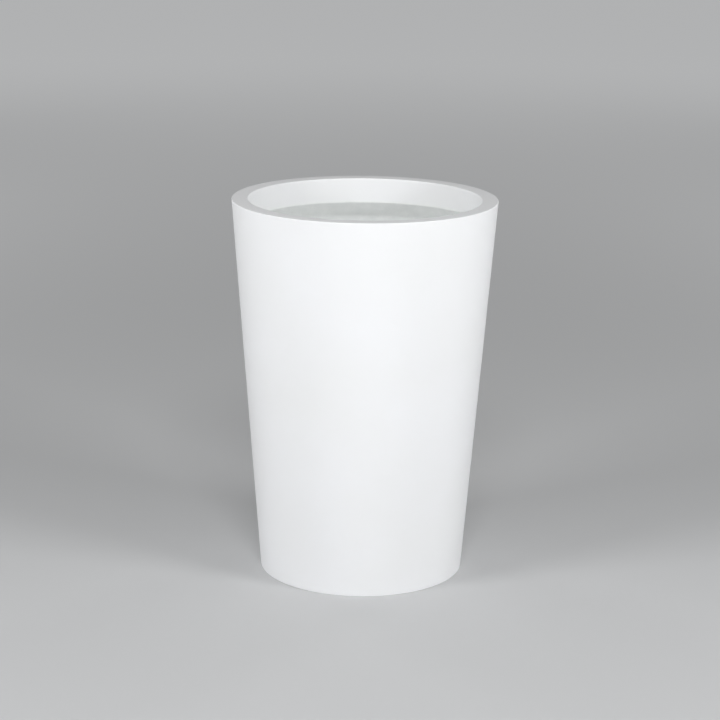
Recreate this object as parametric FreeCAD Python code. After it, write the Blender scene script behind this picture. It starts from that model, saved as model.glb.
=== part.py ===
import FreeCAD, Part
import math
import os

# Tall tapered floor planter in glass-reinforced polyester, 36 inches high, in millimetres.
#
# +Z is up, and the origin is on the floor at the centre of the planter. Nearly every piece is
# turned about Z, so most are drawn as one half section, radius against height, and revolved.
#
# The tapered wall carries a rim collar: a flat with a leg that laps inside the wall and a return
# that turns down into the mouth. A filler ring lies behind the return. A strip of raw laminate
# runs on from the foot of the return, slopes out to the wall and closes the ring in. The floor is
# raised: an upturned pan whose skirt reaches down to the wall's lower edge, a plywood disc on it,
# and an inner skin turned up the wall. A flanged bush lines the drain, and a rubber bung stops it.

# Overall form
height = 914.4
rim_diameter = 635.0  # outside, at the top
base_diameter = 495.0  # outside, at the lower edge

# Wall
wall = 4.0  # laminate, measured level
lower_edge_chamfer = 1.5
bond_line = 0.3  # paste between lapped mouldings

# Rim collar
rim_width = 39.0  # the flat that shows, outside to inside
rim_plate = 4.0
rim_outer_radius = 2.5
rim_inner_radius = 3.0
return_depth = 57.0  # the painted return, from the top of the rim
return_wall = 3.5
locating_leg = 3.5
locating_leg_depth = 20.0

# Capping strip
capping_drop = 45.0  # height over which it slopes from the return out to the wall
capping_lap = 20.0  # how far it then runs down the wall

# Raised floor
floor_recess = 20.0  # lower edge of the wall to the underside of the floor
pan_floor = 5.0
pan_skirt = 3.5
pan_corner_chamfer = 5.0
floor_core = 12.0
floor_skin = 3.0
skin_skirt = 3.0
skin_skirt_height = 15.0
skin_corner_radius = 7.0

# Drain
drain_diameter = 32.0
bush_wall = 3.0
bush_flange_diameter = 62.0
bush_nose = 3.0  # how far the bush hangs below the pan, so that water drips clear of it

# Bung
plug_clearance = 0.1  # stem to the bush, all round
plug_seat_gap = 0.1  # head to the flange
plug_head_diameter = 48.0
plug_head = 4.0
plug_head_chamfer = 1.5
plug_tip_chamfer = 2.0
plug_end_gap = 3.0  # the bung stops this far short of the bush's lower end
tab_width = 17.0
tab_thickness = 4.5
tab_height = 11.0

# Easing of corners
rounding_share = 0.49  # the largest share of a side that the easing of one of its corners may take up
rounding_steps = 2  # flats that make up each rounding

# Heights that more than one piece meets at
plate_underside = height - rim_plate
return_foot = height - return_depth
capping_knee = return_foot - capping_drop
pan_top = floor_recess + pan_floor
core_top = pan_top + floor_core
floor_top = core_top + floor_skin
bush_foot = floor_recess - bush_nose

# Radii that more than one piece meets at
drain_radius = drain_diameter / 2
bush_radius = drain_radius + bush_wall
mouth_radius = rim_diameter / 2 - rim_width


def outer_radius(level):
    """Outside of the tapered wall at a height above the floor."""
    return (base_diameter + (rim_diameter - base_diameter) * level / height) / 2


def bore_radius(level):
    """Inside of the tapered wall at a height above the floor."""
    return outer_radius(level) - wall


def lap_radius(level):
    """Outer face of whatever is bonded inside the wall."""
    return bore_radius(level) - bond_line


def sharp(radius, level):
    """Corner of a half section left as it is."""
    return radius, level, 0, False


def chamfered(radius, level, leg):
    """Corner cut straight across, from a leg's length before it to a leg's length after it."""
    return radius, level, leg, False


def rounded(radius, level, rounding):
    """Corner rounded off, in a few flats along an arc."""
    return radius, level, rounding, True


def round_off(start, end, centre):
    """Points of an arc about its centre, from its start to its end."""
    first = start - centre
    last = end - centre
    sweep = first.getAngle(last)
    points = []
    for i in range(rounding_steps + 1):
        share = i / rounding_steps
        along = first * math.sin((1 - share) * sweep) + last * math.sin(share * sweep)
        points.append(centre + along * (1 / math.sin(sweep)))
    return points


def section(corners):
    """Closed half section through its corners. An easing too large for its sides is cut to fit."""
    points = []
    for i, (radius, level, ease, arc) in enumerate(corners):
        corner = FreeCAD.Vector(radius, 0, level)
        if ease == 0:
            points.append(corner)
            continue
        before = corners[i - 1]
        after = corners[(i + 1) % len(corners)]
        back = FreeCAD.Vector(before[0], 0, before[1]) - corner
        ahead = FreeCAD.Vector(after[0], 0, after[1]) - corner
        half_angle = back.getAngle(ahead) / 2
        wanted = ease / math.tan(half_angle) if arc else ease
        cut = min(wanted, rounding_share * min(back.Length, ahead.Length))
        back.normalize()
        ahead.normalize()
        start = corner + back * cut
        end = corner + ahead * cut
        if arc:
            centre = corner + (back + ahead).normalize() * (cut / math.cos(half_angle))
            points.extend(round_off(start, end, centre))
        else:
            points.extend([start, end])
    return Part.makePolygon(points + points[:1])


def turned(corners):
    """Solid of revolution about Z from a half section."""
    face = Part.Face(section(corners))
    return face.revolve(FreeCAD.Vector(0, 0, 0), FreeCAD.Vector(0, 0, 1), 360)


def outer_shell():
    """Tapered wall, open at both ends, trimmed square where the collar sits on it."""
    return turned(
        [
            sharp(bore_radius(0), 0),
            chamfered(outer_radius(0), 0, lower_edge_chamfer),
            sharp(outer_radius(plate_underside), plate_underside),
            sharp(bore_radius(plate_underside), plate_underside),
        ]
    )


def rim_collar():
    """Flat rim with its return into the mouth and the leg that laps inside the wall."""
    leg_foot = plate_underside - locating_leg_depth
    return_back = mouth_radius + return_wall
    return turned(
        [
            sharp(mouth_radius, return_foot),
            rounded(mouth_radius, height, rim_inner_radius),
            rounded(outer_radius(height), height, rim_outer_radius),
            sharp(outer_radius(plate_underside), plate_underside),
            sharp(lap_radius(plate_underside), plate_underside),
            sharp(lap_radius(leg_foot), leg_foot),
            sharp(lap_radius(leg_foot) - locating_leg, leg_foot),
            sharp(lap_radius(plate_underside) - locating_leg, plate_underside),
            sharp(return_back, plate_underside),
            sharp(return_back, return_foot),
        ]
    )


def rim_core():
    """Filler ring behind the return, stepped round the leg, its foot sloped to lie on the capping."""
    inner = mouth_radius + return_wall + bond_line
    leg_back = locating_leg + bond_line
    step = plate_underside - locating_leg_depth - bond_line
    foot = capping_knee + 2 * bond_line
    return turned(
        [
            sharp(inner, return_foot),
            sharp(inner, plate_underside),
            sharp(lap_radius(plate_underside) - leg_back, plate_underside),
            sharp(lap_radius(step) - leg_back, step),
            sharp(lap_radius(step), step),
            sharp(lap_radius(foot), foot),
        ]
    )


def rim_capping():
    """Raw laminate from the foot of the return out to the wall, flush with the return's face."""
    foot = capping_knee - capping_lap
    return turned(
        [
            sharp(mouth_radius, return_foot),
            sharp(mouth_radius + return_wall, return_foot),
            sharp(lap_radius(capping_knee), capping_knee),
            sharp(lap_radius(foot), foot),
            sharp(lap_radius(foot) - return_wall, foot),
            sharp(lap_radius(capping_knee) - return_wall, capping_knee),
        ]
    )


def base_pan():
    """Upturned pan: the raised floor, with a skirt bonded inside the wall to its lower edge."""
    hole = bush_radius + bond_line
    return turned(
        [
            sharp(hole, floor_recess),
            chamfered(lap_radius(floor_recess) - pan_skirt, floor_recess, pan_corner_chamfer),
            sharp(lap_radius(0) - pan_skirt, 0),
            sharp(lap_radius(0), 0),
            sharp(lap_radius(pan_top), pan_top),
            sharp(hole, pan_top),
        ]
    )


def base_core():
    """Plywood disc on the pan, its edge bevelled to the taper of the wall."""
    hole = bush_radius + bond_line
    return turned(
        [
            sharp(hole, pan_top),
            sharp(lap_radius(pan_top), pan_top),
            sharp(lap_radius(core_top), core_top),
            sharp(hole, core_top),
        ]
    )


def floor_lining():
    """Inner skin over the plywood, turned up the wall to keep water out of the joint."""
    skirt_top = floor_top + skin_skirt_height
    flange_edge = bush_flange_diameter / 2 + bond_line
    return turned(
        [
            sharp(flange_edge, core_top),
            sharp(lap_radius(core_top), core_top),
            sharp(lap_radius(skirt_top), skirt_top),
            sharp(lap_radius(skirt_top) - skin_skirt, skirt_top),
            rounded(lap_radius(floor_top) - skin_skirt, floor_top, skin_corner_radius),
            sharp(flange_edge, floor_top),
        ]
    )


def drain_bush():
    """Sleeve through the floor. Its flange lies on the plywood, flush with the inner skin."""
    flange = bush_flange_diameter / 2
    return turned(
        [
            sharp(drain_radius, bush_foot),
            sharp(bush_radius, bush_foot),
            sharp(bush_radius, core_top),
            sharp(flange, core_top),
            sharp(flange, floor_top),
            sharp(drain_radius, floor_top),
        ]
    )


def pull_tab(head_top):
    """Upright tab with a round top, rooted in the bung's head."""
    half = tab_width / 2
    side = -tab_thickness / 2
    root = head_top - plug_head / 2
    shoulder = head_top + tab_height - half
    low_left = FreeCAD.Vector(-half, side, root)
    low_right = FreeCAD.Vector(half, side, root)
    high_right = FreeCAD.Vector(half, side, shoulder)
    high_left = FreeCAD.Vector(-half, side, shoulder)
    crown = FreeCAD.Vector(0, side, shoulder + half)
    outline = Part.Wire(
        [
            Part.LineSegment(low_left, low_right).toShape(),
            Part.LineSegment(low_right, high_right).toShape(),
            Part.Arc(high_right, crown, high_left).toShape(),
            Part.LineSegment(high_left, low_left).toShape(),
        ]
    )
    return Part.Face(outline).extrude(FreeCAD.Vector(0, tab_thickness, 0))


def drain_plug():
    """Rubber bung with a flat head, and a tab to pull it by."""
    stem = drain_radius - plug_clearance
    stem_foot = bush_foot + plug_end_gap
    head = plug_head_diameter / 2
    head_foot = floor_top + plug_seat_gap
    head_top = head_foot + plug_head
    bung = turned(
        [
            sharp(0, stem_foot),
            chamfered(stem, stem_foot, plug_tip_chamfer),
            sharp(stem, head_foot),
            sharp(head, head_foot),
            chamfered(head, head_top, plug_head_chamfer),
            sharp(0, head_top),
        ]
    )
    return bung.fuse(pull_tab(head_top)).removeSplitter()


def planter():
    """Every piece of the planter by its node's name."""
    return {
        "outer_shell": outer_shell(),
        "rim_collar": rim_collar(),
        "rim_core": rim_core(),
        "rim_capping": rim_capping(),
        "base_pan": base_pan(),
        "base_core": base_core(),
        "floor_lining": floor_lining(),
        "drain_bush": drain_bush(),
        "drain_plug": drain_plug(),
    }


def main():
    """Write one STEP file for each piece."""
    os.makedirs("parts", exist_ok=True)
    for name, shape in planter().items():
        shape.exportStep(f"parts/{name}.step")
        print(f"{name}: {len(shape.Solids)} solid, {shape.Volume / 1000:.1f} cm3, valid {shape.isValid()}")


main()
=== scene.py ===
import logging
import math
from dataclasses import dataclass, field
from enum import Enum
from typing import Callable, Sequence

import bpy
from mathutils import Matrix, Vector, noise


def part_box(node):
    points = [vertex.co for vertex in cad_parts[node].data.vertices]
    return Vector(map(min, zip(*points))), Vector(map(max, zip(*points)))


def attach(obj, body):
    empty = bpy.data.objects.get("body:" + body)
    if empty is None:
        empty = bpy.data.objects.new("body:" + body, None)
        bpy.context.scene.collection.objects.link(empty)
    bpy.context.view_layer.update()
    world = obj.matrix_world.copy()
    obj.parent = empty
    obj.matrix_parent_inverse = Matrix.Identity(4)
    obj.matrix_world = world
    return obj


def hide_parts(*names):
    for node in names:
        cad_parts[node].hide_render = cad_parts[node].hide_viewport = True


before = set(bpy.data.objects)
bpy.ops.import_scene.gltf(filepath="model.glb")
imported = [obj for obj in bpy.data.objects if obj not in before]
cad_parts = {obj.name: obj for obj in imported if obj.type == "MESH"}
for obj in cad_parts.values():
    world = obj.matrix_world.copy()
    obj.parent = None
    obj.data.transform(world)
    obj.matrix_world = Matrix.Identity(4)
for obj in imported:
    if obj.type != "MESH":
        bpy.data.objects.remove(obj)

# The looks of a tall tapered floor planter: white paint outside and round the mouth, bare
# hand-laid laminate inside. Lengths are in metres, in the frame of the solids.

LOG = logging.getLogger("planter")
MM = 0.001
ARC_STEPS = 8  # straight runs that make up a rounded corner
EASING_SHARE = 0.49  # the largest share of a side that a rounded corner may take up
SHARP_ANGLE = 40.0  # degrees, above which an edge is shaded as sharp

NOISE_SPAN = (0.35, 0.65)  # where most values of a noise texture fall

# Lumps that the roller leaves in a laminate: how wide, and how high either way
BROAD_LUMP = (38 * MM, 0.3 * MM)
FINE_LUMP = (11 * MM, 0.1 * MM)

Corner = tuple[float, float, float, int]
Rgba = tuple[float, float, float, float]


class Body(Enum):
    """The two bodies that pieces ride on."""

    PLANTER = "planter"
    BUNG = "bung"


class Slot(Enum):
    """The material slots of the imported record."""

    PAINT = "painted_laminate"
    RAW = "raw_laminate"
    FOAM = "foam"
    PLYWOOD = "plywood"
    BUSH = "bush_plastic"
    RUBBER = "bung_rubber"


def linear(colour: str) -> Rgba:
    """Turn an sRGB hex colour into the linear one that shaders take.

    Args:
        colour: six hex digits after a hash sign.

    Returns:
        Linear red, green and blue, with full alpha.
    """
    channels = [int(colour[i:i + 2], 16) / 255 for i in (1, 3, 5)]
    turned = [c / 12.92 if c <= 0.04045 else ((c + 0.055) / 1.055) ** 2.4 for c in channels]
    return turned[0], turned[1], turned[2], 1.0


def add(
    tree: bpy.types.NodeTree,
    kind: str,
    links: dict | None = None,
    **settings: object,
) -> bpy.types.Node:
    """Add a node to a tree.

    Args:
        tree: the material's or world's node tree.
        kind: the node's type name.
        links: input name or number to the output socket that feeds it, or to a fixed value.
        **settings: properties of the node itself.

    Returns:
        The node.
    """
    node = tree.nodes.new(kind)
    for name, value in settings.items():
        setattr(node, name, value)
    for name, value in (links or {}).items():
        if isinstance(value, bpy.types.NodeSocket):
            tree.links.new(value, node.inputs[name])
        else:
            node.inputs[name].default_value = value
    return node


def new_material(name: str) -> tuple[bpy.types.Material, bpy.types.NodeTree]:
    """Make an empty node material.

    Args:
        name: the material's name.

    Returns:
        The material and its node tree.
    """
    material = bpy.data.materials.new(name)
    material.use_nodes = True
    material.node_tree.nodes.clear()
    return material, material.node_tree


def ramp(
    tree: bpy.types.NodeTree,
    value: bpy.types.NodeSocket,
    stops: Sequence[tuple[float, str]],
) -> bpy.types.NodeSocket:
    """Map a value to a run of colours.

    Args:
        tree: the node tree.
        value: the socket that drives the run.
        stops: place and hex colour of each stop, two or more.

    Returns:
        The colour socket.
    """
    node = add(tree, "ShaderNodeValToRGB", {"Fac": value})
    elements = node.color_ramp.elements
    while len(elements) < len(stops):
        elements.new(0.5)
    for element, (place, colour) in zip(elements, stops):
        element.position = place
        element.color = linear(colour)
    return node.outputs["Color"]


@dataclass(frozen=True)
class SprayedPaint:
    """Satin polyurethane sprayed on sanded laminate: near white, with a soft broad highlight."""

    colour: str = "#F5F6F8"
    dull: str = "#F3F4F5"
    roughness: tuple[float, float] = (0.34, 0.42)
    ior: float = 1.50
    peel: float = 4 * MM  # orange peel is about 1 mm; drawn coarser so that it shows
    peel_depth: float = 0.05 * MM
    peel_strength: float = 0.12
    drift: float = 260 * MM  # slow change of tone between passes of the gun

    def nodes(self, tree: bpy.types.NodeTree) -> tuple[bpy.types.NodeSocket, ...]:
        """Build the paint's colour, roughness and normal in a tree.

        Args:
            tree: the material's node tree.

        Returns:
            Colour, roughness and normal sockets.
        """
        where = add(tree, "ShaderNodeTexCoord").outputs["Object"]
        tone = add(tree, "ShaderNodeTexNoise", {"Vector": where, "Scale": 1 / self.drift, "Detail": 3.0})
        colour = ramp(tree, tone.outputs["Fac"], list(zip(NOISE_SPAN, (self.colour, self.dull))))
        gloss = add(tree, "ShaderNodeMapRange", {"Value": tone.outputs["Fac"], "To Min": self.roughness[0],
                                                 "To Max": self.roughness[1]})
        peel = add(tree, "ShaderNodeTexNoise", {"Vector": where, "Scale": 1 / self.peel, "Detail": 1.0})
        bump = add(tree, "ShaderNodeBump", {"Height": peel.outputs["Fac"], "Strength": self.peel_strength,
                                            "Distance": self.peel_depth})
        return colour, gloss.outputs[0], bump.outputs[0]


@dataclass(frozen=True)
class HandLaidLaminate:
    """Chopped strand mat rolled out in polyester resin: strands lie every way under a cloudy gloss."""

    resin: str = "#EEF1F0"
    glass: str = "#FAFCFB"
    strand_length: float = 42 * MM
    strand_width: float = 2.2 * MM  # bundles are about 1 mm; drawn coarser so that they show
    strand_depth: float = 0.4 * MM
    strand_strength: float = 0.4
    angles: tuple[float, ...] = (12.0, 71.0, 133.0)
    lump: float = 30 * MM
    lump_span: tuple[float, float] = (0.3, 0.7)
    cloud_span: tuple[float, float] = (0.12, 0.50)  # strands times lumps, from bare resin to glass
    roughness: tuple[float, float] = (0.30, 0.55)
    ior: float = 1.56

    def nodes(self, tree: bpy.types.NodeTree) -> tuple[bpy.types.NodeSocket, ...]:
        """Build the laminate's colour, roughness and normal in a tree.

        Args:
            tree: the material's node tree.

        Returns:
            Colour, roughness and normal sockets.
        """
        flat = add(tree, "ShaderNodeUVMap", uv_map="run").outputs[0]
        strands = None
        for angle in self.angles:
            turn = (0.0, 0.0, math.radians(angle))
            turned = add(tree, "ShaderNodeMapping", {"Vector": flat, "Rotation": turn})
            scale = (1 / self.strand_length, 1 / self.strand_width, 1.0)
            drawn = add(tree, "ShaderNodeMapping", {"Vector": turned.outputs[0], "Scale": scale})
            fibre = add(tree, "ShaderNodeTexNoise", {"Vector": drawn.outputs[0], "Scale": 1.0,
                                                     "Detail": 2.0})
            if strands is None:
                strands = fibre.outputs["Fac"]
            else:
                both = add(tree, "ShaderNodeMath", {0: strands, 1: fibre.outputs["Fac"]},
                           operation="MAXIMUM")
                strands = both.outputs[0]
        lumps = add(tree, "ShaderNodeTexNoise", {"Vector": flat, "Scale": 1 / self.lump, "Detail": 4.0})
        cloudy = add(tree, "ShaderNodeMath", {0: strands, 1: lumps.outputs["Fac"]}, operation="MULTIPLY")
        colour = ramp(tree, cloudy.outputs[0], list(zip(self.cloud_span, (self.resin, self.glass))))
        gloss = add(tree, "ShaderNodeMapRange", {"Value": lumps.outputs["Fac"],
                                                 "From Min": self.lump_span[0],
                                                 "From Max": self.lump_span[1],
                                                 "To Min": self.roughness[0], "To Max": self.roughness[1]})
        bump = add(tree, "ShaderNodeBump", {"Height": strands, "Strength": self.strand_strength,
                                            "Distance": self.strand_depth})
        return colour, gloss.outputs[0], bump.outputs[0]


@dataclass(frozen=True)
class Moulding:
    """A plain moulded or cut solid: a mottled colour with a fine grain."""

    name: str
    colours: tuple[str, str]
    grain: float
    roughness: float
    ior: float
    stretch: tuple[float, float, float] = (1.0, 1.0, 1.0)
    relief: float = 0.1 * MM
    relief_strength: float = 0.4

    def nodes(self, tree: bpy.types.NodeTree) -> tuple[bpy.types.NodeSocket | float, ...]:
        """Build the colour, roughness and normal in a tree.

        Args:
            tree: the material's node tree.

        Returns:
            Colour socket, roughness and normal socket.
        """
        where = add(tree, "ShaderNodeTexCoord").outputs["Object"]
        drawn = add(tree, "ShaderNodeMapping", {"Vector": where, "Scale": self.stretch})
        grain = add(tree, "ShaderNodeTexNoise", {"Vector": drawn.outputs[0], "Scale": 1 / self.grain,
                                                 "Detail": 5.0})
        colour = ramp(tree, grain.outputs["Fac"], list(zip(NOISE_SPAN, self.colours)))
        bump = add(tree, "ShaderNodeBump", {"Height": grain.outputs["Fac"],
                                            "Strength": self.relief_strength,
                                            "Distance": self.relief})
        return colour, self.roughness, bump.outputs[0]


# Rigid foam: sawn, so its open cells read as a dull tan speckle
FOAM = Moulding("cut_polyurethane_foam", ("#C9B27A", "#DCC793"), 2 * MM, 0.9, 1.50)
# Plywood: sawn from a sheet, which leaves a long pale grain along X
PLYWOOD = Moulding("sawn_plywood", ("#9E7A4C", "#B8945F"), 9 * MM, 0.7, 1.53, stretch=(0.08, 1.0, 1.0))
# Polypropylene: injection moulded, so near black and faintly mottled, with a low sheen
POLYPROPYLENE = Moulding("moulded_polypropylene", ("#1C1C1D", "#252526"), 3 * MM, 0.45, 1.49)
# Rubber: pressed in a mould, so dull black with a dusty bloom
RUBBER = Moulding("moulded_rubber", ("#171717", "#262625"), 2 * MM, 0.75, 1.52)


@dataclass(frozen=True)
class BackdropPaper:
    """Matt pale studio paper, which reads as one even tone with a faint tooth.

    A faint light of its own, away from the planter, stands in for light that a larger studio
    would throw on it. It keeps the far floor pale without light from above on the planter's rim.
    """

    colour: str = "#C4C5C6"
    start: float = 0.6
    end: float = 11.0
    glow: tuple[float, float] = (0.04, 0.62)
    fibre: float = 3 * MM
    fibre_depth: float = 0.1 * MM
    fibre_strength: float = 0.1
    roughness: float = 0.9

    def build(self) -> bpy.types.Material:
        """Make the material.

        Returns:
            The material.
        """
        material, tree = new_material("matt_backdrop_paper")
        where = add(tree, "ShaderNodeTexCoord").outputs["Object"]
        away = add(tree, "ShaderNodeVectorMath", {0: where}, operation="LENGTH").outputs["Value"]
        share = add(tree, "ShaderNodeMapRange", {"Value": away, "From Min": self.start,
                                                 "From Max": self.end},
                    interpolation_type="SMOOTHSTEP").outputs[0]
        glow = add(tree, "ShaderNodeMapRange", {"Value": share, "To Min": self.glow[0],
                                                "To Max": self.glow[1]})
        fibre = add(tree, "ShaderNodeTexNoise", {"Vector": where, "Scale": 1 / self.fibre, "Detail": 3.0})
        bump = add(tree, "ShaderNodeBump", {"Height": fibre.outputs["Fac"],
                                            "Strength": self.fibre_strength,
                                            "Distance": self.fibre_depth})
        shader = add(tree, "ShaderNodeBsdfPrincipled", {
            "Base Color": linear(self.colour),
            "Roughness": self.roughness,
            "Normal": bump.outputs[0],
            "Emission Color": linear(self.colour),
            "Emission Strength": glow.outputs[0],
        })
        add(tree, "ShaderNodeOutputMaterial", {"Surface": shader.outputs[0]})
        return material


@dataclass
class Finishes:
    """Every material, made once."""

    ragged: float = 18 * MM  # width of the tongues along the paint's edge
    tongue: float = 1 / 3  # how far they stray either way, as a share of the fade
    made: dict[str, bpy.types.Material] = field(default_factory=dict)

    def solid(self, name: str, finish: SprayedPaint | HandLaidLaminate | Moulding) -> bpy.types.Material:
        """Make a material of one finish, or return the one already made.

        Args:
            name: the material's name.
            finish: what it is made of.

        Returns:
            The material.
        """
        if name not in self.made:
            material, tree = new_material(name)
            colour, roughness, normal = finish.nodes(tree)
            self.close(tree, colour, roughness, normal, finish.ior)
            self.made[name] = material
        return self.made[name]

    def overspray(self, edge: float, reach: float) -> bpy.types.Material:
        """Paint that gives out over bare laminate, with a soft ragged edge as a spray gun leaves.

        Args:
            edge: height at which half the surface is covered.
            reach: height over which the paint fades.

        Returns:
            The material.
        """
        name = "paint_fading_on_laminate"
        if name in self.made:
            return self.made[name]
        material, tree = new_material(name)
        finish = SprayedPaint()
        paint = finish.nodes(tree)
        bare = HandLaidLaminate().nodes(tree)
        where = add(tree, "ShaderNodeTexCoord").outputs["Object"]
        level = add(tree, "ShaderNodeSeparateXYZ", {0: where}).outputs["Z"]
        rough = add(tree, "ShaderNodeTexNoise", {"Vector": where, "Scale": 1 / self.ragged, "Detail": 4.0})
        stray = reach * self.tongue
        tongues = add(tree, "ShaderNodeMapRange", {"Value": rough.outputs["Fac"], "To Min": -stray,
                                                   "To Max": stray})
        height = add(tree, "ShaderNodeMath", {0: level, 1: tongues.outputs[0]}, operation="ADD")
        cover = add(tree, "ShaderNodeMapRange", {"Value": height.outputs[0], "From Min": edge - reach / 2,
                                                 "From Max": edge + reach / 2},
                    interpolation_type="SMOOTHSTEP")
        share = cover.outputs[0]
        colour = add(tree, "ShaderNodeMix", {"Factor": share, 6: bare[0], 7: paint[0]}, data_type="RGBA")
        gloss = add(tree, "ShaderNodeMix", {"Factor": share, 2: bare[1], 3: paint[1]})
        normal = add(tree, "ShaderNodeMix", {"Factor": share, 4: bare[2], 5: paint[2]}, data_type="VECTOR")
        self.close(tree, colour.outputs[2], gloss.outputs[0], normal.outputs[1], finish.ior)
        self.made[name] = material
        return material

    @staticmethod
    def close(
        tree: bpy.types.NodeTree,
        colour: bpy.types.NodeSocket,
        roughness: bpy.types.NodeSocket | float,
        normal: bpy.types.NodeSocket,
        ior: float,
    ) -> None:
        """Feed a shader and the material's output.

        Args:
            tree: the material's node tree.
            colour: the base colour.
            roughness: a socket or a number.
            normal: the normal socket.
            ior: the refractive index.
        """
        shader = add(tree, "ShaderNodeBsdfPrincipled", {"Base Color": colour, "Roughness": roughness,
                                                        "Normal": normal, "IOR": ior})
        add(tree, "ShaderNodeOutputMaterial", {"Surface": shader.outputs[0]})


def trace(corners: Sequence[Corner], step: float) -> list[tuple[float, float, int]]:
    """Draw a closed half section with rounded corners and evenly divided sides.

    Args:
        corners: radius, height, rounding and slot of the side that leaves each corner.
        step: longest stretch between two points of a side.

    Returns:
        Radius, height and slot of each point.
    """
    arcs = []
    for i, (radius, level, rounding, slot) in enumerate(corners):
        here = Vector((radius, level))
        back = Vector(corners[i - 1][:2]) - here
        ahead = Vector(corners[(i + 1) % len(corners)][:2]) - here
        if rounding == 0:
            arcs.append([here])
            continue
        half = back.angle(ahead) / 2
        cut = min(rounding / math.tan(half), EASING_SHARE * min(back.length, ahead.length))
        back.normalize()
        ahead.normalize()
        centre = here + (back + ahead).normalized() * (cut / math.cos(half))
        first = here + back * cut - centre
        last = here + ahead * cut - centre
        sweep = first.angle(last)
        shares = [k / ARC_STEPS for k in range(ARC_STEPS + 1)]
        arcs.append([
            centre + (first * math.sin((1 - k) * sweep) + last * math.sin(k * sweep)) / math.sin(sweep)
            for k in shares
        ])
    points = []
    for i, arc in enumerate(arcs):
        slot = corners[i][3]
        points.extend((p.x, p.y, slot) for p in arc[:-1])
        start = arc[-1]
        end = arcs[(i + 1) % len(arcs)][0]
        divisions = max(1, math.ceil((end - start).length / step))
        for k in range(divisions):
            point = start.lerp(end, k / divisions)
            points.append((point.x, point.y, slot))
    return points


def lathe(
    name: str,
    corners: Sequence[Corner],
    materials: Sequence[bpy.types.Material],
    step: float,
    relief: Callable[[Vector, int], float],
    segments: int = 384,
) -> bpy.types.Object:
    """Turn a closed half section about Z, with a relief that follows the surface.

    Args:
        name: the piece's name.
        corners: the half section, counter-clockwise with radius to the right and height up.
        materials: one for each slot of the section.
        step: longest stretch between two points of a side.
        relief: how far a point stands out of the surface, from its place and slot.
        segments: divisions of the turn.

    Returns:
        The piece.
    """
    points = trace(corners, step)
    count = len(points)
    lengths = [0.0]
    for i in range(count):
        a, b = Vector(points[i][:2]), Vector(points[(i + 1) % count][:2])
        lengths.append(lengths[-1] + (b - a).length)
    outward = []
    for i in range(count):
        run = Vector(points[(i + 1) % count][:2]) - Vector(points[i - 1][:2])
        outward.append(Vector((run.y, -run.x)).normalized())
    verts = []
    for s in range(segments):
        # The turn begins nearest the camera, where the near wall hides the seam inside
        angle = 2 * math.pi * s / segments - math.pi / 2
        cosine, sine = math.cos(angle), math.sin(angle)
        for (radius, level, slot), normal in zip(points, outward):
            lift = relief(Vector((radius * cosine, radius * sine, level)), slot)
            r = radius + normal.x * lift
            verts.append((r * cosine, r * sine, level + normal.y * lift))
    faces = []
    slots = []
    runs = []
    reach = max(p[0] for p in points)
    for s in range(segments):
        t = (s + 1) % segments
        u0, u1 = reach * 2 * math.pi * s / segments, reach * 2 * math.pi * (s + 1) / segments
        for i in range(count):
            j = (i + 1) % count
            faces.append((s * count + i, t * count + i, t * count + j, s * count + j))
            slots.append(points[i][2])
            runs.extend(((u0, lengths[i]), (u1, lengths[i]), (u1, lengths[i + 1]), (u0, lengths[i + 1])))
    mesh = bpy.data.meshes.new(name)
    mesh.from_pydata(verts, [], faces)
    for material in materials:
        mesh.materials.append(material)
    mesh.polygons.foreach_set("material_index", slots)
    layer = mesh.uv_layers.new(name="run")
    layer.data.foreach_set("uv", [c for pair in runs for c in pair])
    mesh.shade_smooth()
    mesh.set_sharp_from_angle(angle=math.radians(SHARP_ANGLE))
    piece = bpy.data.objects.new(name, mesh)
    bpy.context.scene.collection.objects.link(piece)
    return piece


@dataclass
class Form:
    """Sizes that more than one piece shares."""

    height: float = 914.4 * MM
    rim_diameter: float = 635 * MM
    base_diameter: float = 495 * MM
    wall: float = 4 * MM
    bond_line: float = 0.3 * MM
    rim_width: float = 39 * MM
    rim_plate: float = 4 * MM
    return_depth: float = 57 * MM
    return_wall: float = 3.5 * MM

    @property
    def mouth(self) -> float:
        """Radius of the opening inside the rim."""
        return self.rim_diameter / 2 - self.rim_width

    @property
    def return_foot(self) -> float:
        """Height at which the painted return ends."""
        return self.height - self.return_depth

    @property
    def plate_underside(self) -> float:
        """Height of the joint between rim and wall."""
        return self.height - self.rim_plate

    def outer(self, level: float) -> float:
        """Outside radius of the wall at a height."""
        return (self.base_diameter + (self.rim_diameter - self.base_diameter) * level / self.height) / 2

    def bore(self, level: float) -> float:
        """Inside radius of the wall at a height."""
        return self.outer(level) - self.wall

    def lap(self, level: float) -> float:
        """Outside radius of whatever is bonded inside the wall."""
        return self.bore(level) - self.bond_line


def place(piece: bpy.types.Object, node: str, slot: Slot, body: Body = Body.PLANTER) -> bpy.types.Object:
    """Let a piece stand for a solid and ride on its body.

    Args:
        piece: the new mesh.
        node: the solid that it stands for.
        slot: the record's material slot; not used.
        body: the body that it rides on.

    Returns:
        The piece.
    """
    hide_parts(node)
    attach(piece, body.value)
    LOG.info("%s: %d faces, stands for %s", piece.name, len(piece.data.polygons), node)
    return piece


def raw_relief(point: Vector) -> float:
    """Lumps that the roller leaves in a hand-laid laminate, up to 0.4 mm either way.

    Args:
        point: a place on the surface.

    Returns:
        How far the surface stands out.
    """
    broad = noise.noise(point / BROAD_LUMP[0])
    fine = noise.noise(point / FINE_LUMP[0])
    return BROAD_LUMP[1] * broad + FINE_LUMP[1] * fine


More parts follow.
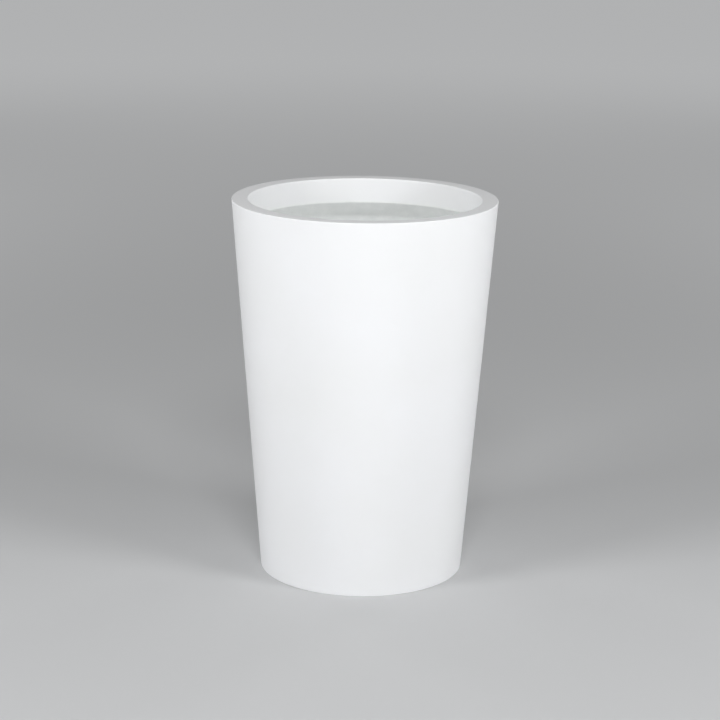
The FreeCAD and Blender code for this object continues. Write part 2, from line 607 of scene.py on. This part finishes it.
@dataclass
class Wall:
    """The tapered wall: painted outside, bare laminate inside."""

    form: Form
    finishes: Finishes
    step: float = 7 * MM
    edge: float = 1.5 * MM
    wave_width: float = 170 * MM
    wave_depth: float = 0.12 * MM
    settle_foot: float = 30 * MM  # height over which the relief dies away to true edges
    settle_head: float = 60 * MM

    def relief(self, point: Vector, slot: int) -> float:
        """Slow waves of the sanded outside, never proud of it, and the lumps of the inside.

        Args:
            point: a place on the surface.
            slot: 0 outside, 1 inside.

        Returns:
            How far the surface stands out.
        """
        foot = min(1.0, point.z / self.settle_foot)
        head = min(1.0, max(0.0, (self.form.plate_underside - point.z) / self.settle_head))
        if slot == 0:
            wave = (1 + noise.noise(point / self.wave_width)) / 2
            return -self.wave_depth * wave * head * foot
        return raw_relief(point) * head * foot

    def build(self) -> bpy.types.Object:
        """Make the wall's mesh and dress it.

        Returns:
            The piece.
        """
        form = self.form
        top = form.plate_underside
        corners = [
            (form.outer(0), 0.0, self.edge, 0),
            (form.outer(top), top, 0.0, 0),
            (form.bore(top), top, 0.0, 1),
            (form.bore(0), 0.0, 0.0, 0),
        ]
        # The paint gives an even white with a broad soft highlight. The laminate inside is never
        # painted, so it looks cloudy and faintly fibrous.
        materials = [
            self.finishes.solid("sprayed_satin_paint", SprayedPaint()),
            self.finishes.solid("hand_laid_laminate", HandLaidLaminate()),
        ]
        return place(lathe("wall", corners, materials, self.step, self.relief), "outer_shell", Slot.PAINT)


@dataclass
class Rim:
    """Flat rim, its return into the mouth, and the strip of laminate that carries on below."""

    form: Form
    finishes: Finishes
    step: float = 5 * MM
    outer_edge: float = 2.5 * MM
    inner_edge: float = 3 * MM
    leg: float = 3.5 * MM
    leg_depth: float = 20 * MM
    capping_drop: float = 45 * MM
    capping_edge: float = 1.5 * MM
    capping_lead: float = 4 * MM  # runs on straight below the return before it slopes away
    capping_lead_bend: float = 12 * MM
    capping_bend: float = 30 * MM
    fade: float = 12 * MM  # height over which the paint gives out
    settle: float = 20 * MM  # height over which the lumps die away to the return

    def collar(self) -> bpy.types.Object:
        """Make the painted collar.

        Returns:
            The piece.
        """
        form = self.form
        under = form.plate_underside
        leg_foot = under - self.leg_depth
        back = form.mouth + form.return_wall
        corners = [
            (form.mouth, form.return_foot, 0.0, 0),
            (back, form.return_foot, 0.0, 0),
            (back, under, 0.0, 0),
            (form.lap(under) - self.leg, under, 0.0, 0),
            (form.lap(leg_foot) - self.leg, leg_foot, 0.0, 0),
            (form.lap(leg_foot), leg_foot, 0.0, 0),
            (form.lap(under), under, 0.0, 0),
            (form.outer(under), under, 0.0, 0),
            (form.outer(form.height), form.height, self.outer_edge, 0),
            (form.mouth, form.height, self.inner_edge, 0),
        ]
        material = self.finishes.overspray(form.return_foot, self.fade)
        piece = lathe("rim", corners, [material], self.step, lambda point, slot: 0.0)
        return place(piece, "rim_collar", Slot.PAINT)

    def capping(self) -> bpy.types.Object:
        """Make the strip of bare laminate below the return.

        Returns:
            The piece.
        """
        form = self.form
        knee = form.return_foot - self.capping_drop
        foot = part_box("rim_capping")[0].z
        top = form.return_foot
        corners = [
            (form.mouth, top, 0.0, 0),
            (form.mouth, top - self.capping_lead, self.capping_lead_bend, 0),
            (form.lap(knee) - form.return_wall, knee, self.capping_bend, 0),
            (form.lap(foot) - form.return_wall, foot, self.capping_edge, 0),
            (form.lap(foot), foot, 0.0, 0),
            (form.lap(knee), knee, 0.0, 0),
            (form.mouth + form.return_wall, top, 0.0, 0),
        ]
        material = self.finishes.overspray(top, self.fade)

        def relief(point: Vector, slot: int) -> float:
            """Laminate lumps that die away at the painted return.

            Args:
                point: a place on the surface.
                slot: its material slot, the same all over; not used.

            Returns:
                How far the surface stands out.
            """
            return raw_relief(point) * min(1.0, (top - point.z) / self.settle)

        piece = lathe("capping_strip", corners, [material], self.step, relief)
        return place(piece, "rim_capping", Slot.RAW)


@dataclass
class Floor:
    """The planter's inner floor skin, turned up the wall."""

    form: Form
    finishes: Finishes
    step: float = 8 * MM
    skin: float = 3 * MM
    cove: float = 7 * MM
    edge: float = 1.2 * MM
    calm: float = 0.5  # share of the wall's lumps that a level face keeps
    settle: float = 40 * MM  # distance over which the lumps die away to the drain

    def build(self) -> bpy.types.Object:
        """Make the skin, as high as the solid that it stands for, with its hole round the bush.

        Returns:
            The piece.
        """
        form = self.form
        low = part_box("floor_lining")[0].z
        top = low + self.skin
        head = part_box("floor_lining")[1].z
        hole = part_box("drain_bush")[1].x + form.bond_line
        corners = [
            (hole, low, 0.0, 0),
            (form.lap(low), low, 0.0, 0),
            (form.lap(head), head, 0.0, 0),
            (form.lap(head) - self.skin, head, self.edge, 0),
            (form.lap(top) - self.skin, top, self.cove, 0),
            (hole, top, 0.0, 0),
        ]

        def relief(point: Vector, slot: int) -> float:
            """Laminate lumps that die away at the drain.

            Args:
                point: a place on the surface.
                slot: its material slot, the same all over; not used.

            Returns:
                How far the surface stands out.
            """
            away = (math.hypot(point.x, point.y) - hole) / self.settle
            return self.calm * raw_relief(point) * min(1.0, max(0.0, away))

        material = self.finishes.solid("hand_laid_laminate", HandLaidLaminate())
        return place(lathe("floor_skin", corners, [material], self.step, relief), "floor_lining", Slot.RAW)


@dataclass
class CarriedOver:
    """Solids whose shape is right as it is, given their finish."""

    finishes: Finishes

    def dress(self, node: str, finish: HandLaidLaminate | Moulding, name: str) -> None:
        """Put a finish on a solid.

        Args:
            node: the solid's name.
            finish: what it is made of.
            name: the material's name.
        """
        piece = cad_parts[node]
        material = self.finishes.solid(name, finish)
        if not piece.material_slots:
            piece.data.materials.append(material)
        for material_slot in piece.material_slots:
            material_slot.material = material
        LOG.info("%s: carried over in %s", node, name)

    def build(self) -> None:
        """Dress every solid that no new piece stands for."""
        self.dress("rim_core", FOAM, FOAM.name)
        self.dress("base_core", PLYWOOD, PLYWOOD.name)
        self.dress("drain_bush", POLYPROPYLENE, POLYPROPYLENE.name)
        self.dress("drain_plug", RUBBER, RUBBER.name)
        # Rolled smooth in a mould and never seen close, so it is a mottled grey-green without strands
        pan = Moulding("rolled_laminate", ("#BCC3BF", "#D6DCD9"), 14 * MM, 0.5, 1.56, relief=0.4 * MM)
        self.dress("base_pan", pan, pan.name)


@dataclass
class Softbox:
    """A soft light on a stand, aimed at the planter.

    Bearings are in degrees: 0 is the camera's side, 90 the right of the picture.
    """

    name: str
    bearing: float
    away: float
    height: float
    watts: float
    size: tuple[float, float] = (1.4, 1.1)

    def build(self, target: Vector) -> None:
        """Hang the light and aim it.

        Args:
            target: the point that it faces.
        """
        turn = math.radians(self.bearing)
        data = bpy.data.lights.new(self.name, "AREA")
        data.shape = "RECTANGLE"
        data.size, data.size_y = self.size
        data.energy = self.watts
        light = bpy.data.objects.new(self.name, data)
        light.location = (math.sin(turn) * self.away, -math.cos(turn) * self.away, self.height)
        light.rotation_euler = (target - light.location).to_track_quat("-Z", "Y").to_euler()
        light.visible_camera = False
        bpy.context.scene.collection.objects.link(light)


@dataclass(frozen=True)
class Surround:
    """The room round the studio, as an even soft light that can differ overhead and at eye level."""

    colour: str = "#FFFFFF"
    walls: float = 0.33
    ceiling: float = 0.12
    cornice: float = 0.7  # how high the ceiling's tone begins, as the sine of its elevation

    def build(self) -> bpy.types.World:
        """Make the surround.

        Returns:
            The world that holds it.
        """
        world = bpy.data.worlds.new("studio_surround")
        world.use_nodes = True
        tree = world.node_tree
        tree.nodes.clear()
        bearing = add(tree, "ShaderNodeTexCoord").outputs["Generated"]
        height = add(tree, "ShaderNodeSeparateXYZ", {0: bearing}).outputs["Z"]
        strength = add(tree, "ShaderNodeMapRange", {"Value": height, "From Max": self.cornice,
                                                    "To Min": self.walls, "To Max": self.ceiling},
                       interpolation_type="SMOOTHSTEP").outputs[0]
        light = add(tree, "ShaderNodeBackground", {"Color": linear(self.colour), "Strength": strength})
        add(tree, "ShaderNodeOutputWorld", {"Surface": light.outputs[0]})
        return world


@dataclass
class Studio:
    """Pale floor, soft lights and a white surround."""

    floor_size: float = 120.0
    floor_cells: int = 4
    aim: float = 0.8  # share of the planter's height that the lights face
    lights: tuple[Softbox, ...] = (
        Softbox("left_softbox", bearing=-56.0, away=4.0, height=2.2, watts=80.0),
        Softbox("right_softbox", bearing=56.0, away=4.0, height=2.2, watts=84.0),
        Softbox("high_softbox", bearing=3.0, away=4.0, height=3.8, watts=76.0),
        Softbox("rear_left_softbox", bearing=-140.0, away=6.0, height=3.0, watts=36.0),
        Softbox("rear_right_softbox", bearing=140.0, away=6.0, height=3.0, watts=36.0),
    )

    def build(self, height: float) -> None:
        """Lay the floor, set the surround and hang the lights.

        Args:
            height: the planter's height.
        """
        bpy.ops.mesh.primitive_grid_add(x_subdivisions=self.floor_cells, y_subdivisions=self.floor_cells,
                                        size=self.floor_size)
        floor = bpy.context.object
        floor.name = "studio_floor"
        floor.data.materials.append(BackdropPaper().build())
        bpy.context.scene.world = Surround().build()
        bpy.context.scene.view_settings.view_transform = "Standard"
        for light in self.lights:
            light.build(Vector((0.0, 0.0, self.aim * height)))
        LOG.info("studio: %d softboxes", len(self.lights))


@dataclass
class PhotoCamera:
    """The camera, where the ellipses of the rim and base put it."""

    distance: float = 4.9974
    height: float = 1.8176
    pitch: float = 14.597
    yaw: float = -0.0855
    roll: float = 0.678
    focal: float = 106.38
    sensor: float = 36.0
    reach: float = 200.0  # the farthest that it sees, past the edge of the floor

    def build(self) -> None:
        """Make the camera and use it."""
        p, y, r = (math.radians(v) for v in (self.pitch, self.yaw, self.roll))
        forward = Vector((math.sin(y) * math.cos(p), math.cos(y) * math.cos(p), -math.sin(p)))
        level = Vector((math.cos(y), -math.sin(y), 0.0))
        up = level.cross(forward)
        right = level * math.cos(r) + up * math.sin(r)
        top = up * math.cos(r) - level * math.sin(r)
        data = bpy.data.cameras.new("photo_camera")
        data.lens, data.sensor_width = self.focal, self.sensor
        data.clip_end = self.reach
        camera = bpy.data.objects.new("photo_camera", data)
        turn = Matrix((right, top, -forward)).transposed().to_4x4()
        camera.matrix_world = Matrix.Translation((0.0, -self.distance, self.height)) @ turn
        bpy.context.scene.collection.objects.link(camera)
        bpy.context.scene.camera = camera
        LOG.info("camera: %.1f mm lens", self.focal)


def main() -> None:
    """Build every sub-assembly in order, then the studio."""
    logging.basicConfig(level=logging.INFO, format="%(message)s")
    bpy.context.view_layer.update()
    form = Form()
    finishes = Finishes()
    Wall(form, finishes).build()
    rim = Rim(form, finishes)
    rim.collar()
    rim.capping()
    Floor(form, finishes).build()
    CarriedOver(finishes).build()
    Studio().build(form.height)
    PhotoCamera().build()


if __name__ == "__main__":
    main()
